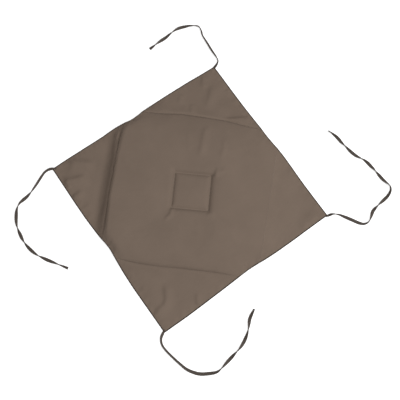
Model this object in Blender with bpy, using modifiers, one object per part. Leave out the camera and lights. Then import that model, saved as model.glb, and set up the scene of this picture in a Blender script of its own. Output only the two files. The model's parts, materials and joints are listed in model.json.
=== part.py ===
"""A tie-on chair seat pad: a quilted pad, four corner flaps that fold over the seat's edges, and four ties.

The pad lies face up on the surface z = 0. The front flap points to -Y and the right flap to +X.
"""

import math

import bmesh
import bpy
from mathutils import Matrix, Vector

# Plan of the cover, from its centre
SEAM = 0.181  # to each flap's seam, which is its hinge line
CORNER = 0.316  # to each flap's tip

# Heights above the surface that the pad lies on
CROWN_Z = 0.028
SEAM_Z = 0.008
QUILT_TOP_Z = 0.015  # the top face where the quilted square is sewn through
QUILT_BOTTOM_Z = 0.005  # and the underside there
QUILT_PILLOW = 0.0012  # how far the middle of the square swells either way
PILLOW_RING = 0.55  # the ring inside the square: its size, as a share of the square's
PILLOW_RISE = 0.75  # and its height, as a share of the swelling

# The quilted square, which is sewn a little askew
QUILT_HALF = 0.041
QUILT_TURN = math.radians(6.0)
QUILT_CENTRE = Vector((0.006, -0.003))

# How far the padding takes to swell to its full height, as a share of the way from square to seam
SHOULDER = 0.30
UNDER_SHOULDER = 0.25

# Cloth, thread and tape
COVER_THICK = 0.0008
PLY_THICK = 0.0007
PLY_GAP = 0.0003
EDGE_RADIUS = 0.00085  # the turned edge that the two plies are sewn into
THREAD_RADIUS = 0.00035
TIE_WIDTH = 0.008
TIE_THICK = 0.0012
TIE_STEP = 0.008  # along the tie, between the points of its solid

# Clearances
GAP = 0.0003
HINGE_INNER = 0.0011  # from the hinge line to the pad's rim
HINGE_OUTER = 0.00075  # from the hinge line to the flap's root
RIM_RISE = 0.0006  # from the hinge line up to the top cover's rim, and down to the bottom cover's
FILLING_INSET = 0.0013  # from the covers' outer face to the filling

# The loft from the square to the seams: points in a quarter turn, and rings
QUARTER = 8
SIDE_HALF = 3  # of those, from the middle of a seam to its end
RINGS = 10

FLAP_REACH = CORNER - SEAM
FLAP_TILT = math.asin((SEAM_Z - EDGE_RADIUS - 0.0001) / FLAP_REACH)

# Which way each flap points, in quarter turns from the front
FLAPS = {"front": 0, "right": 1, "back": 2, "left": 3}

# Each tie's route over the surface, from its flap's tip to its free end
TIE_ROUTES = {
    "front": [
        (0.000, -0.3166), (-0.003, -0.328), (-0.002, -0.338), (0.003, -0.347), (0.013, -0.356),
        (0.031, -0.368), (0.046, -0.377), (0.061, -0.385), (0.076, -0.389), (0.092, -0.390),
        (0.110, -0.386), (0.126, -0.380), (0.135, -0.370), (0.143, -0.358), (0.157, -0.337),
        (0.168, -0.320), (0.175, -0.301), (0.178, -0.280), (0.178, -0.258), (0.184, -0.236),
    ],
    "right": [
        (0.3166, 0.000), (0.328, 0.006), (0.341, 0.007), (0.356, 0.004), (0.374, 0.000),
        (0.391, -0.004), (0.402, -0.004), (0.411, 0.003), (0.415, 0.015), (0.419, 0.031),
        (0.429, 0.046), (0.441, 0.061), (0.449, 0.073), (0.453, 0.086), (0.450, 0.097),
        (0.439, 0.105), (0.421, 0.119), (0.406, 0.134), (0.387, 0.147), (0.368, 0.155),
        (0.350, 0.165), (0.334, 0.178), (0.318, 0.192), (0.295, 0.206),
    ],
    "back": [
        (0.000, 0.3166), (0.006, 0.327), (0.008, 0.338), (0.002, 0.349), (-0.012, 0.365),
        (-0.028, 0.385), (-0.041, 0.401), (-0.046, 0.413), (-0.055, 0.423), (-0.073, 0.422),
        (-0.090, 0.416), (-0.106, 0.405), (-0.119, 0.391), (-0.132, 0.374), (-0.146, 0.358),
        (-0.161, 0.341),
    ],
    "left": [
        (-0.3166, 0.000), (-0.327, -0.004), (-0.336, -0.013), (-0.342, -0.028), (-0.348, -0.046),
        (-0.356, -0.066), (-0.366, -0.082), (-0.375, -0.097), (-0.377, -0.112), (-0.374, -0.128),
        (-0.367, -0.147), (-0.355, -0.165), (-0.342, -0.180), (-0.327, -0.192), (-0.309, -0.202),
        (-0.289, -0.208), (-0.266, -0.213), (-0.233, -0.220),
    ],
}

COVER_COLOUR = (0.178, 0.137, 0.108, 1.0)
EDGE_COLOUR = (0.110, 0.085, 0.068, 1.0)
TIE_COLOUR = (0.095, 0.075, 0.060, 1.0)
THREAD_COLOUR = (0.120, 0.092, 0.074, 1.0)
FILLING_COLOUR = (0.850, 0.850, 0.830, 1.0)


def clear_scene():
    for obj in list(bpy.data.objects):
        bpy.data.objects.remove(obj)


def make_material(name, colour, roughness):
    material = bpy.data.materials.new(name)
    material.use_nodes = True
    shader = material.node_tree.nodes["Principled BSDF"]
    shader.inputs["Base Color"].default_value = colour
    shader.inputs["Roughness"].default_value = roughness
    shader.inputs["Metallic"].default_value = 0.0
    return material


def add_object(name, data, material, collection):
    obj = bpy.data.objects.new(name, data)
    obj.data.materials.append(material)
    collection.objects.link(obj)
    return obj


# ---- plan outlines -------------------------------------------------------------------------------


def quilt_loop(scale=1.0):
    """The quilted square, as points in order from the middle of its front side."""
    points = []
    turn = Matrix.Rotation(QUILT_TURN, 2)
    for side in range(4):
        quarter = Matrix.Rotation(side * math.pi / 2, 2)
        for step in range(QUARTER):
            along = 2 * step / QUARTER
            if along <= 1:
                corner_wards = Vector((along, -1.0))
            else:
                corner_wards = Vector((1.0, along - 2.0))
            points.append(QUILT_CENTRE + turn @ quarter @ corner_wards * QUILT_HALF * scale)
    return points


def rim_loop():
    """The pad's rim: four long sides along the seams and four short ones at the cover's own edges."""
    seam = SEAM - HINGE_INNER
    end = CORNER - (2 * EDGE_RADIUS + GAP) * math.sqrt(2) - seam
    points = []
    for side in range(4):
        quarter = Matrix.Rotation(side * math.pi / 2, 2)
        for step in range(QUARTER):
            if step <= SIDE_HALF:
                place = Vector((end * step / SIDE_HALF, -seam))
            else:
                across = (step - SIDE_HALF) / (QUARTER - 2 * SIDE_HALF)
                place = Vector((end, -seam)).lerp(Vector((seam, -end)), min(across, 1.0))
                if across > 1:
                    place = Vector((seam, -end * (QUARTER - step) / SIDE_HALF))
            points.append(quarter @ place)
    return points


def swell(share):
    """A quarter ellipse, from 0 where the cover is sewn down to 1 where it's at its full height."""
    return math.sqrt(1 - (1 - min(share, 1.0)) ** 2)


def top_height(share):
    if share < 0.5:
        return QUILT_TOP_Z + (CROWN_Z - QUILT_TOP_Z) * swell(share / SHOULDER)
    rim = SEAM_Z + RIM_RISE
    return rim + (CROWN_Z - rim) * swell((1 - share) / SHOULDER)


def bottom_height(share):
    if share < 0.5:
        return QUILT_BOTTOM_Z * (1 - swell(share / UNDER_SHOULDER))
    return (SEAM_Z - RIM_RISE) * (1 - swell((1 - share) / UNDER_SHOULDER))


def stations():
    """Where the loft's rings are, closer together towards the square and the rim."""
    return [(1 - math.cos(math.pi * ring / RINGS)) / 2 for ring in range(RINGS + 1)]


# ---- meshes --------------------------------------------------------------------------------------


def face_rings(height, pillow_z):
    """One face of the pad, as rings of points from the quilted square's middle to the rim."""
    quilt, rim = quilt_loop(), rim_loop()
    inner_z = height(0.0) + PILLOW_RISE * (pillow_z - height(0.0))
    rings = [[(p.x, p.y, inner_z) for p in quilt_loop(PILLOW_RING)]]
    for share in stations():
        flat = [a.lerp(b, share) for a, b in zip(quilt, rim)]
        rings.append([(p.x, p.y, height(share)) for p in flat])
    return rings


def loft(bm, rings):
    """Joins rings of equal length with faces, and returns the rings' vertices."""
    made = [[bm.verts.new(point) for point in ring] for ring in rings]
    for inner, outer in zip(made, made[1:]):
        for k in range(len(inner)):
            after = (k + 1) % len(inner)
            bm.faces.new((inner[k], outer[k], outer[after], inner[after]))
    return made


def cap(bm, ring, z):
    """Closes a ring with a fan of triangles about its middle."""
    apex = bm.verts.new((QUILT_CENTRE.x, QUILT_CENTRE.y, z))
    for k, vertex in enumerate(ring):
        bm.faces.new((apex, vertex, ring[(k + 1) % len(ring)]))


def finish_mesh(bm, name):
    bmesh.ops.recalc_face_normals(bm, faces=bm.faces)
    mesh = bpy.data.meshes.new(name)
    bm.to_mesh(mesh)
    bm.free()
    mesh.shade_smooth()
    return mesh


def cover_mesh(name, height, pillow_z, faces_up):
    """The outer face of one cover, open at the rim, with its normals pointing out of the pad."""
    bm = bmesh.new()
    rings = loft(bm, face_rings(height, pillow_z))
    cap(bm, rings[0], pillow_z)
    bmesh.ops.recalc_face_normals(bm, faces=bm.faces)
    bm.faces.ensure_lookup_table()
    if (bm.faces[-1].normal.z > 0) != faces_up:
        bmesh.ops.reverse_faces(bm, faces=bm.faces)
    mesh = bpy.data.meshes.new(name)
    bm.to_mesh(mesh)
    bm.free()
    mesh.shade_smooth()
    return mesh


def add_cover(name, height, pillow_z, faces_up, material, collection):
    cover = add_object(name, cover_mesh(name, height, pillow_z, faces_up), material, collection)
    shell = cover.modifiers.new("thickness", "SOLIDIFY")
    shell.thickness = COVER_THICK
    shell.offset = -1.0
    return cover


def add_filling(material, collection):
    """The pad's envelope, cut off bluntly one ring short of the rim and shrunk until it clears the covers."""
    bm = bmesh.new()
    top = loft(bm, face_rings(top_height, QUILT_TOP_Z + QUILT_PILLOW)[:-1])
    cap(bm, top[0], QUILT_TOP_Z + QUILT_PILLOW)
    bottom = loft(bm, face_rings(bottom_height, QUILT_BOTTOM_Z - QUILT_PILLOW)[:-1])
    cap(bm, bottom[0], QUILT_BOTTOM_Z - QUILT_PILLOW)
    rim_top, rim_bottom = top[-1], bottom[-1]
    for k in range(len(rim_top)):
        after = (k + 1) % len(rim_top)
        bm.faces.new((rim_top[k], rim_bottom[k], rim_bottom[after], rim_top[after]))
    bmesh.ops.recalc_face_normals(bm, faces=bm.faces)
    bm.normal_update()
    moves = [(v, v.normal * v.calc_shell_factor() * FILLING_INSET) for v in bm.verts]
    for vertex, move in moves:
        vertex.co -= move
    return add_object("filling", finish_mesh(bm, "filling"), material, collection)


# ---- curves --------------------------------------------------------------------------------------


def poly_spline(curve, points, cyclic=False):
    spline = curve.splines.new("POLY")
    spline.points.add(len(points) - 1)
    for point, place in zip(spline.points, points):
        point.co = (*place, 1.0)
    spline.use_cyclic_u = cyclic
    return spline


def add_tube(name, points, radius, material, collection, cyclic=False):
    curve = bpy.data.curves.new(name, "CURVE")
    curve.dimensions = "3D"
    curve.bevel_depth = radius
    curve.bevel_resolution = 2
    curve.use_fill_caps = not cyclic
    poly_spline(curve, points, cyclic)
    return add_object(name, curve, material, collection)


def add_plate(name, outline, thickness, material, collection):
    """A flat piece of cloth, from its outline in its own XY plane."""
    curve = bpy.data.curves.new(name, "CURVE")
    curve.dimensions = "2D"
    curve.fill_mode = "BOTH"
    curve.extrude = thickness / 2
    poly_spline(curve, [(x, y, 0.0) for x, y in outline], cyclic=True)
    return add_object(name, curve, material, collection)


def smooth_route(route, step):
    """Points a step apart along a smooth curve through the route's own points."""
    ends = [2 * Vector(route[0]) - Vector(route[1]), 2 * Vector(route[-1]) - Vector(route[-2])]
    guide = [ends[0], *map(Vector, route), ends[1]]
    fine = []
    for before, start, end, after in zip(guide, guide[1:], guide[2:], guide[3:]):
        for k in range(20):
            t = k / 20
            fine.append(
                0.5 * (2 * start + (end - before) * t
                       + (2 * before - 5 * start + 4 * end - after) * t ** 2
                       + (3 * start - before - 3 * end + after) * t ** 3)
            )
    fine.append(guide[-2])
    travelled = [0.0]
    for a, b in zip(fine, fine[1:]):
        travelled.append(travelled[-1] + (b - a).length)
    count = round(travelled[-1] / step)
    points, k = [], 0
    for n in range(count + 1):
        at = travelled[-1] * n / count
        while k < len(fine) - 2 and travelled[k + 1] < at:
            k += 1
        share = (at - travelled[k]) / (travelled[k + 1] - travelled[k])
        points.append(fine[k].lerp(fine[k + 1], share))
    return points


# ---- the parts -----------------------------------------------------------------------------------


def add_quilt_threads(material, collection):
    """The square's two threads of one lockstitch: the needle's on the top face, the bobbin's underneath."""
    corners = [QUILT_CENTRE + Matrix.Rotation(QUILT_TURN + side * math.pi / 2, 2)
               @ Vector((QUILT_HALF, -QUILT_HALF)) for side in range(4)]
    clear = GAP + THREAD_RADIUS
    for name, z in (("quilt_needle_thread", QUILT_TOP_Z + clear),
                    ("quilt_bobbin_thread", QUILT_BOTTOM_Z - clear)):
        add_tube(name, [(p.x, p.y, z) for p in corners], THREAD_RADIUS, material, collection, True)


def add_pad_edge_seams(material, collection):
    """The turned and sewn edge of the cover at the pad's four short sides, between two flaps."""
    names = ("front_right", "back_right", "back_left", "front_left")
    long_way = SEAM - 0.003
    short_way = CORNER - EDGE_RADIUS * math.sqrt(2) - long_way
    for k, name in enumerate(names):
        quarter = Matrix.Rotation(k * math.pi / 2, 3, "Z")
        ends = [quarter @ Vector((short_way, -long_way, SEAM_Z)),
                quarter @ Vector((long_way, -short_way, SEAM_Z))]
        add_tube(f"{name}_pad_edge_seam", ends, EDGE_RADIUS, material, collection)


def flap_frame(name, turns, collection):
    """An empty on the flap's hinge line: its X runs along the seam and its -Y out to the tip."""
    frame = bpy.data.objects.new(f"{name}_hinge", None)
    collection.objects.link(frame)
    turn = Matrix.Rotation(turns * math.pi / 2, 4, "Z")
    tilt = Matrix.Rotation(FLAP_TILT, 4, "X")
    frame.matrix_world = turn @ Matrix.Translation((0.0, -SEAM, SEAM_Z)) @ tilt
    return frame


def add_flap(name, turns, cloth, edge, collection):
    """One corner flap: two triangular plies, and the turned edge that joins them down both sides."""
    frame = flap_frame(name, turns, collection)
    edge_room = (2 * EDGE_RADIUS + GAP) * math.sqrt(2)
    tip = FLAP_REACH - edge_room
    half_root = tip - HINGE_OUTER
    outline = [(-half_root, -HINGE_OUTER), (0.0, -tip), (half_root, -HINGE_OUTER)]
    lift = (PLY_THICK + PLY_GAP) / 2
    for side, z in (("top", lift), ("bottom", -lift)):
        ply = add_plate(f"{name}_flap_{side}_ply", outline, PLY_THICK, cloth, collection)
        ply.parent = frame
        ply.location.z = z
    line = FLAP_REACH - EDGE_RADIUS * math.sqrt(2)
    root = 2 * HINGE_OUTER + EDGE_RADIUS
    sides = [(-(line - root), -root, 0.0), (0.0, -line, 0.0), (line - root, -root, 0.0)]
    seam = add_tube(f"{name}_flap_edge_seam", sides, EDGE_RADIUS, edge, collection)
    seam.parent = frame


def add_seam_thread(name, turns, material, collection):
    """The stitching that closes the pad off from a flap, which the flap folds about."""
    half = CORNER - SEAM - 2 * EDGE_RADIUS - 0.002
    quarter = Matrix.Rotation(turns * math.pi / 2, 3, "Z")
    ends = [quarter @ Vector((x, -SEAM, SEAM_Z)) for x in (-half, half)]
    add_tube(f"{name}_seam_thread", ends, THREAD_RADIUS, material, collection)


def add_tie(name, route, material, collection):
    """A flat tape that lies on the surface, from its flap's tip to its free end."""
    curve = bpy.data.curves.new(f"{name}_tie", "CURVE")
    curve.dimensions = "3D"
    curve.twist_mode = "Z_UP"
    curve.bevel_depth = TIE_THICK / 2
    curve.bevel_resolution = 0
    curve.extrude = (TIE_WIDTH - TIE_THICK) / 2
    curve.use_fill_caps = True
    z = TIE_THICK / 2 + 0.0001
    spline = poly_spline(curve, [(p.x, p.y, z) for p in smooth_route(route, TIE_STEP)])
    for point in spline.points:
        point.tilt = math.pi / 2
    add_object(f"{name}_tie", curve, material, collection)


def main():
    clear_scene()
    collection = bpy.data.collections.new("chair_seat_pad")
    bpy.context.scene.collection.children.link(collection)
    cover = make_material("cover_cloth", COVER_COLOUR, 0.85)
    edge = make_material("turned_edge", EDGE_COLOUR, 0.85)
    tape = make_material("tie_tape", TIE_COLOUR, 0.8)
    thread = make_material("sewing_thread", THREAD_COLOUR, 0.6)
    wadding = make_material("wadding", FILLING_COLOUR, 0.95)

    add_cover("top_cover", top_height, QUILT_TOP_Z + QUILT_PILLOW, True, cover, collection)
    add_cover("bottom_cover", bottom_height, QUILT_BOTTOM_Z - QUILT_PILLOW, False, cover, collection)
    add_filling(wadding, collection)
    add_quilt_threads(thread, collection)
    add_pad_edge_seams(edge, collection)
    for name, turns in FLAPS.items():
        add_flap(name, turns, cover, edge, collection)
        add_seam_thread(name, turns, thread, collection)
        add_tie(name, TIE_ROUTES[name], tape, collection)


main()
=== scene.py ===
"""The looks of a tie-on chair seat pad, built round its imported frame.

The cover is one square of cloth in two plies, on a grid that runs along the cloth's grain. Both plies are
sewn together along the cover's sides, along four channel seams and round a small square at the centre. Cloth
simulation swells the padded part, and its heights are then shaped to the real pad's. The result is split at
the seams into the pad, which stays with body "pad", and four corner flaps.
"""

import json
import math

import bpy
import numpy as np
from mathutils import Matrix, Vector


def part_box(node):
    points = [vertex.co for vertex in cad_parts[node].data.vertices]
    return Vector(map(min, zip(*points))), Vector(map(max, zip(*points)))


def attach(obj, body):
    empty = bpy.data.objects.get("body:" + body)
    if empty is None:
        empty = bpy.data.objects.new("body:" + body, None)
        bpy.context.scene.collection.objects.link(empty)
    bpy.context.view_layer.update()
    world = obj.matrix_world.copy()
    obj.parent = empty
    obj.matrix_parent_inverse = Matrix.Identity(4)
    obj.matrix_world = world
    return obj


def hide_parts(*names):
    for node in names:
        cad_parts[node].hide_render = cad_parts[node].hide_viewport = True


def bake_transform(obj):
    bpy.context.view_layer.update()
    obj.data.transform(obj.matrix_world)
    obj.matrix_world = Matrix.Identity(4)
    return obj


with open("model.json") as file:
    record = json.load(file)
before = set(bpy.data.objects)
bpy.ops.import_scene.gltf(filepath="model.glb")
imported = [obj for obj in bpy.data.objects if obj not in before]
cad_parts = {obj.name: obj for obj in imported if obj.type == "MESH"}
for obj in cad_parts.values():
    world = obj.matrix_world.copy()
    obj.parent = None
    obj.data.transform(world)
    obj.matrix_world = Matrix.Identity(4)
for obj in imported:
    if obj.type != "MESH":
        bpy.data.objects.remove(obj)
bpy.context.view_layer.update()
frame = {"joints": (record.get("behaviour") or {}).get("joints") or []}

MM = 0.001

# ---- places, from the frame ----

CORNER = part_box("right_flap_edge_seam")[1].x  # from the centre to a flap's tip
HINGES = {j["child"]: Vector(j["pos_m"]) for j in frame["joints"]}
SEAM = HINGES["right_flap"].x
SEAM_Z = HINGES["right_flap"].z
CROWN_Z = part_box("top_cover")[1].z
QUILT_BOTTOM_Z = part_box("quilt_bobbin_thread")[1].z

# Each side's outward direction. Its "along" is a quarter turn anticlockwise from that.
SIDES = {
    "front": Vector((0.0, -1.0)),
    "right": Vector((1.0, 0.0)),
    "back": Vector((0.0, 1.0)),
    "left": Vector((-1.0, 0.0)),
}

# ---- the cover's grid ----

FINENESS = 2  # cells of the finished cover for each cell of the simulated one
SIM_CELLS = 43  # from the centre to a side
CELLS = FINENESS * SIM_CELLS
STEP = CORNER / math.sqrt(2) / CELLS
DIAGONAL = STEP / math.sqrt(2)  # how far a step moves a point along X, and along Y
SEAM_INSET = 1 * MM  # from a hinge in to its seam's straight line
SEAM_STEPS = FINENESS * round((SEAM - SEAM_INSET) / DIAGONAL / FINENESS)
QUILT_PLAN = 41.5 * MM  # half the quilted square's width on the flat cloth, before it is rounded to the grid
QUILT_STEPS = FINENESS * round(QUILT_PLAN / DIAGONAL / FINENESS)
SEAM_LINE = SEAM_STEPS * DIAGONAL
QUILT_LINE = QUILT_STEPS * DIAGONAL
PLY_HALF = 0.4 * MM  # half the thickness of both plies where they are sewn together
FLOOR_GAP = 0.05 * MM  # between the pad's underside and the floor

# ---- the quilted square ----

QUILT_HALF = 41.0 * MM
QUILT_TURN = math.radians(4.6)
QUILT_CENTRE = np.array((3.9, -3.2)) * MM
QUILT_REACH = (62 * MM, 150 * MM)  # up to where it turns and shifts the cloth fully, and up to where at all
# The dips round its stitches, which add up, each with its depth and width, and the swelling inside them
QUILT_DIP = ((1.6 * MM, 3.5 * MM), (4.9 * MM, 13 * MM), (2.0 * MM, 70 * MM))
QUILT_PILLOW = ((1.6 * MM, 3.5 * MM), (3.2 * MM, 12 * MM), (0.6 * MM, 40 * MM))

# ---- how far outside its straight line each seam lies, in millimetres, at places along it ----

SEAM_BOW = {
    "front": ((-130, 3.0), (-90, 3.8), (-60, 3.4), (-30, 2.0), (0, -0.8), (50, -3.8), (80, -6.0), (110, -6.5),
              (130, -7.5)),
    "right": ((-120, 0.5), (-40, 1.0), (40, 1.0), (120, 0.5)),
    "back": ((-130, -1.0), (-90, 1.0), (-70, 3.5), (-50, 5.2), (-10, 4.8), (50, 3.5), (70, 0.6), (90, -3.4),
             (110, -6.4), (130, -8.5)),
    "left": ((-130, -2.5), (-110, -0.8), (-90, 1.3), (-60, 2.2), (-30, 1.4), (0, 0.2), (30, -0.4), (50, -1.9),
             (70, -4.2), (90, -6.2), (110, -8.5), (130, -10.0)),
}
BOW_REACH = 50 * MM
SHORT_SIDES = (("front", "right"), ("right", "back"), ("back", "left"), ("left", "front"))

# The same for the cover's four sides, from their middles, anticlockwise from above
EDGE_BOW = {
    "front_right": ((-211, 3.0), (-160, 3.0), (-119, 1.7), (-80, 0.2), (-44, -1.1), (-8, -2.5), (16, -1.8),
                    (46, 0.3), (76, 1.1), (136, 0.7), (160, 0.0), (211, -0.7)),
    "right_back": ((-209, 0.9), (-134, 1.7), (-89, 2.7), (-59, 2.7), (-44, 1.8), (-22, 0.2), (0, -0.4),
                   (22, 0.0), (46, 1.8), (70, 2.7), (110, 2.5), (151, 3.2), (211, 4.7)),
    "back_left": ((-211, 2.8), (-179, 3.8), (-155, 4.8), (-89, 5.2), (-62, 4.5), (-40, 2.4), (-20, -0.8),
                  (1, -2.3), (16, -1.6), (31, 0.2), (48, 2.7), (65, 3.5), (100, 3.2), (196, 3.0), (211, 2.2)),
    "left_front": ((-211, 4.5), (-134, 5.1), (-89, 4.7), (-59, 3.1), (-44, 2.0), (-22, -0.6), (1, -2.4),
                   (16, -1.6), (31, -0.3), (61, 1.8), (106, 2.9), (150, 2.0), (211, 0.8)),
}
EDGE_REACH = 30 * MM

# ---- heights ----


def per_side(front, right, back, left):
    """A length for each side, from millimetres."""
    return {"front": front * MM, "right": right * MM, "back": back * MM, "left": left * MM}


SHOULDER = {"front": 62 * MM, "right": 120 * MM, "back": 62 * MM}  # in from its seam, where the pad rises
SHORT_SHOULDER = {"front_right": 40 * MM, "right_back": 34 * MM, "back_left": 24 * MM, "left_front": 20 * MM}
FLANGE = 5 * MM  # the flat margin outside the filling at the short sides
WALL = 18 * MM  # the cloth that stands up steeply along the left seam
WALL_WIDTH = 10 * MM  # and its width seen from above
WALL_REACH = 4 * WALL  # in from the left seam, where the pad is at its full height and no cloth is moved
WALL_SHARE = 0.8  # how much of the left side's height the wall has
WALL_POWER = 1.25  # above 1 the wall is straighter than a quarter of an ellipse
SEAM_RISE = per_side(0.5, 6.0, 0.5, 0.0)  # above its hinge
LEFT_RISE = ((-130, 0.0), (-60, 2.4), (60, 2.4), (100, 4.5), (130, 2.0))  # the left one's: at each Y, in mm
SEAM_DEPTH = per_side(2.6, 0.0, 2.9, 5.6)  # of its groove
SEAM_WIDTH = per_side(5, 5, 6, 4)  # of half the groove
SEAM_LIP = 5 * MM  # out from a seam, where the groove's lip on the flap starts to fall
SEAM_PUFF = per_side(60, 60, 60, 17)  # and where it has fallen
CROWN_POWER = {"front": 2.0, "right": 1.2, "back": 2.0}  # 1 for a straight slope, 2 for a round shoulder
UNDER_SHOULDER = 16 * MM  # from the pad's rim and its quilted square to where its underside lies flat
PAD_UNEVEN = (0.3 * MM, 70 * MM, 3)  # the pad's soft unevenness: its height, wavelength and seed
DROOP = per_side(34, 90, 34, 12)  # out from its seam to where a flap lies flat
LEFT_DROOP = ((-100, 14), (-60, 0), (50, 0), (80, 22), (105, 50))  # more for the left one: at each Y, in mm
FLAP_LIFT = 1.0 * MM  # the bottom ply's height there
FLAP_LOFT = 1.4 * MM  # the air between a flap's plies, at its middle
LOFT_REACH = (40 * MM, 25 * MM)  # how far from a flap's seam, and from its free sides, the air is all there
FLAP_UNEVEN = (0.4 * MM, 55 * MM, 8)
UNEVEN_REACH = 12 * MM  # how far from a flap's seam and sides its unevenness is all there
UNDER_SHARE = 0.6  # how much of a flap's folds its bottom ply follows
FOLD_FADE = 8 * MM  # in from a flap's seam, where its folds are all there
PAD_FOLDS = (1.6, 0.25)  # how fast the pad's folds grow with its swelling, and their least share
WRINKLE_GROWTH = 2  # the same for its wrinkling
WRINKLE_SHARE = 0.3  # how much of the simulated cloth's wrinkling is kept
WRINKLE_SCALE = 12  # grid steps: what is broader than this is swelling, and not wrinkling


def turn_steps(i, j):
    """Grid steps along the cloth's grain, as steps along X and Y."""
    return i - j, i + j


def cell_faces(i, j, seam, quilt):
    """A cell's faces, as grid points. A cell that a sewn line crosses is split along it."""
    a, b, c, d = (i, j), (i + 1, j), (i + 1, j + 1), (i, j + 1)
    across, up = abs(i - j), abs(i + j + 1)
    if up == seam or (up == quilt and across < quilt):
        return [(a, b, d), (b, c, d)]
    if across == seam or (across == quilt and up < quilt):
        return [(a, b, c), (a, c, d)]
    return [(a, b, c, d)]


def grid_faces(cells, seam, quilt):
    """The faces of one ply on a grid with that many cells from its centre to a side."""
    span = range(-cells, cells)
    return [face for i in span for j in span for face in cell_faces(i, j, seam, quilt)]


def grid_sewn(cells, seam, quilt):
    """Which points of such a grid are on a line where the two plies are sewn together."""
    i, j = np.meshgrid(np.arange(-cells, cells + 1), np.arange(-cells, cells + 1), indexing="ij")
    across, up = np.abs(i - j), np.abs(i + j)
    on_side = (np.abs(i) == cells) | (np.abs(j) == cells)
    return on_side | (across == seam) | (up == seam) | (np.maximum(across, up) == quilt)


def region_of(face):
    """Which piece a face belongs to: the pad, or a side's flap."""
    steps = [turn_steps(i, j) for i, j in face]
    across = sum(a for a, _ in steps) / len(steps)
    up = sum(b for _, b in steps) / len(steps)
    for name, out in SIDES.items():
        if across * out.x + up * out.y > SEAM_STEPS:
            return name
    return "pad"


SPAN = range(-CELLS, CELLS + 1)
GRID_I, GRID_J = np.meshgrid(SPAN, SPAN, indexing="ij")
FLAT_X, FLAT_Y = (GRID_I - GRID_J) * DIAGONAL, (GRID_I + GRID_J) * DIAGONAL
SEWN = grid_sewn(CELLS, SEAM_STEPS, QUILT_STEPS)
FACES = [(face, region_of(face)) for face in grid_faces(CELLS, SEAM_STEPS, QUILT_STEPS)]


def at(point):
    """A grid point's place in the grid's arrays."""
    return point[0] + CELLS, point[1] + CELLS


# ---- simulation ----

SIM_FRAMES = 30
SIM_PRESSURE = 1.5
SIM_PARTING = 1.0 * MM  # between the mid-plane and each ply at the start


def simulated_cover():
    """Both plies, on the coarse grid, after air has swollen the padded part: one array of points for each."""
    seam, quilt = SEAM_STEPS // FINENESS, QUILT_STEPS // FINENESS
    sewn = grid_sewn(SIM_CELLS, seam, quilt)
    flat_x, flat_y = FLAT_X[::FINENESS, ::FINENESS], FLAT_Y[::FINENESS, ::FINENESS]
    reach = np.maximum(np.abs(flat_x), np.abs(flat_y))
    padded = (reach > QUILT_LINE - DIAGONAL) & (reach < SEAM_LINE + DIAGONAL)
    index = np.full((2, *sewn.shape), -1)
    places, weights = [], []
    for ply, side in enumerate((1, -1)):
        for p in np.ndindex(sewn.shape):
            if ply and sewn[p]:
                index[1][p] = index[0][p]
                continue
            index[ply][p] = len(places)
            places.append((flat_x[p], flat_y[p], 0.0 if sewn[p] else side * SIM_PARTING))
            weights.append(padded[p])
    faces = []
    for ply in (0, 1):
        for face in grid_faces(SIM_CELLS, seam, quilt):
            corners = [int(index[ply][i + SIM_CELLS, j + SIM_CELLS]) for i, j in face]
            faces.append(corners[::-1] if ply else corners)
    mesh = bpy.data.meshes.new("simulated_cover")
    mesh.from_pydata(places, [], faces)
    obj = bpy.data.objects.new("simulated_cover", mesh)
    bpy.context.scene.collection.objects.link(obj)
    group = obj.vertex_groups.new(name="padded")
    group.add([k for k, weight in enumerate(weights) if weight], 1.0, "REPLACE")

    cloth = obj.modifiers.new("cloth", "CLOTH")
    settings = cloth.settings
    settings.quality = 5
    settings.mass = 0.3
    settings.tension_stiffness = 80
    settings.compression_stiffness = 15
    settings.shear_stiffness = 5
    settings.bending_stiffness = 2
    settings.tension_damping = settings.compression_damping = settings.shear_damping = 25
    settings.bending_damping = 0.5
    settings.use_pressure = True
    settings.uniform_pressure_force = SIM_PRESSURE
    settings.vertex_group_pressure = group.name
    settings.effector_weights.gravity = 0
    cloth.collision_settings.use_collision = False
    cloth.point_cache.frame_start = 1
    cloth.point_cache.frame_end = SIM_FRAMES
    scene = bpy.context.scene
    for step in range(1, SIM_FRAMES + 1):
        scene.frame_set(step)
    result = obj.evaluated_get(bpy.context.evaluated_depsgraph_get()).to_mesh()
    points = np.zeros(len(result.vertices) * 3)
    result.vertices.foreach_get("co", points)
    scene.frame_set(1)
    bpy.data.objects.remove(obj)
    return points.reshape(-1, 3)[index]


def refined(points):
    """The simulated grid with a new point between each two: doubled, then smoothed off its sewn lines."""
    for axis in (1, 2):
        count = points.shape[axis]
        doubled = np.repeat(points, 2, axis=axis).take(range(2 * count - 1), axis=axis)
        between = (points.take(range(count - 1), axis=axis) + points.take(range(1, count), axis=axis)) / 2
        odd = [slice(None)] * points.ndim
        odd[axis] = slice(1, None, 2)
        doubled[tuple(odd)] = between
        points = doubled
    for _ in range(2):
        points = np.where(SEWN[None, ..., None], points, blurred(points))
    return points


def blurred(values):
    """Each point's mean with its neighbours, along the grid's two directions (axes 1 and 2)."""
    for axis in (1, 2):
        first, last = values.take([0], axis=axis), values.take([-1], axis=axis)
        padded = np.concatenate([first, values, last], axis=axis)
        count = values.shape[axis]
        values = (padded.take(range(count), axis=axis) + 2 * values
                  + padded.take(range(2, count + 2), axis=axis)) / 4
    return values


# ---- shaping ----


def smooth(x, low, high):
    """0 up to low, 1 from high on, and a smooth step between them."""
    t = np.clip((x - low) / (high - low), 0, 1)
    return t * t * (3 - 2 * t)


def inside_sides(x, y):
    """How far inside the cover's nearest side each point is."""
    return (CORNER - np.abs(x) - np.abs(y)) / math.sqrt(2)


def rounded(distance, width, power=2.0):
    """From 0 at no distance up to 1 at the width, steep at first, like a shoulder."""
    return 1 - (1 - np.clip(distance / width, 0, 1)) ** power


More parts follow.
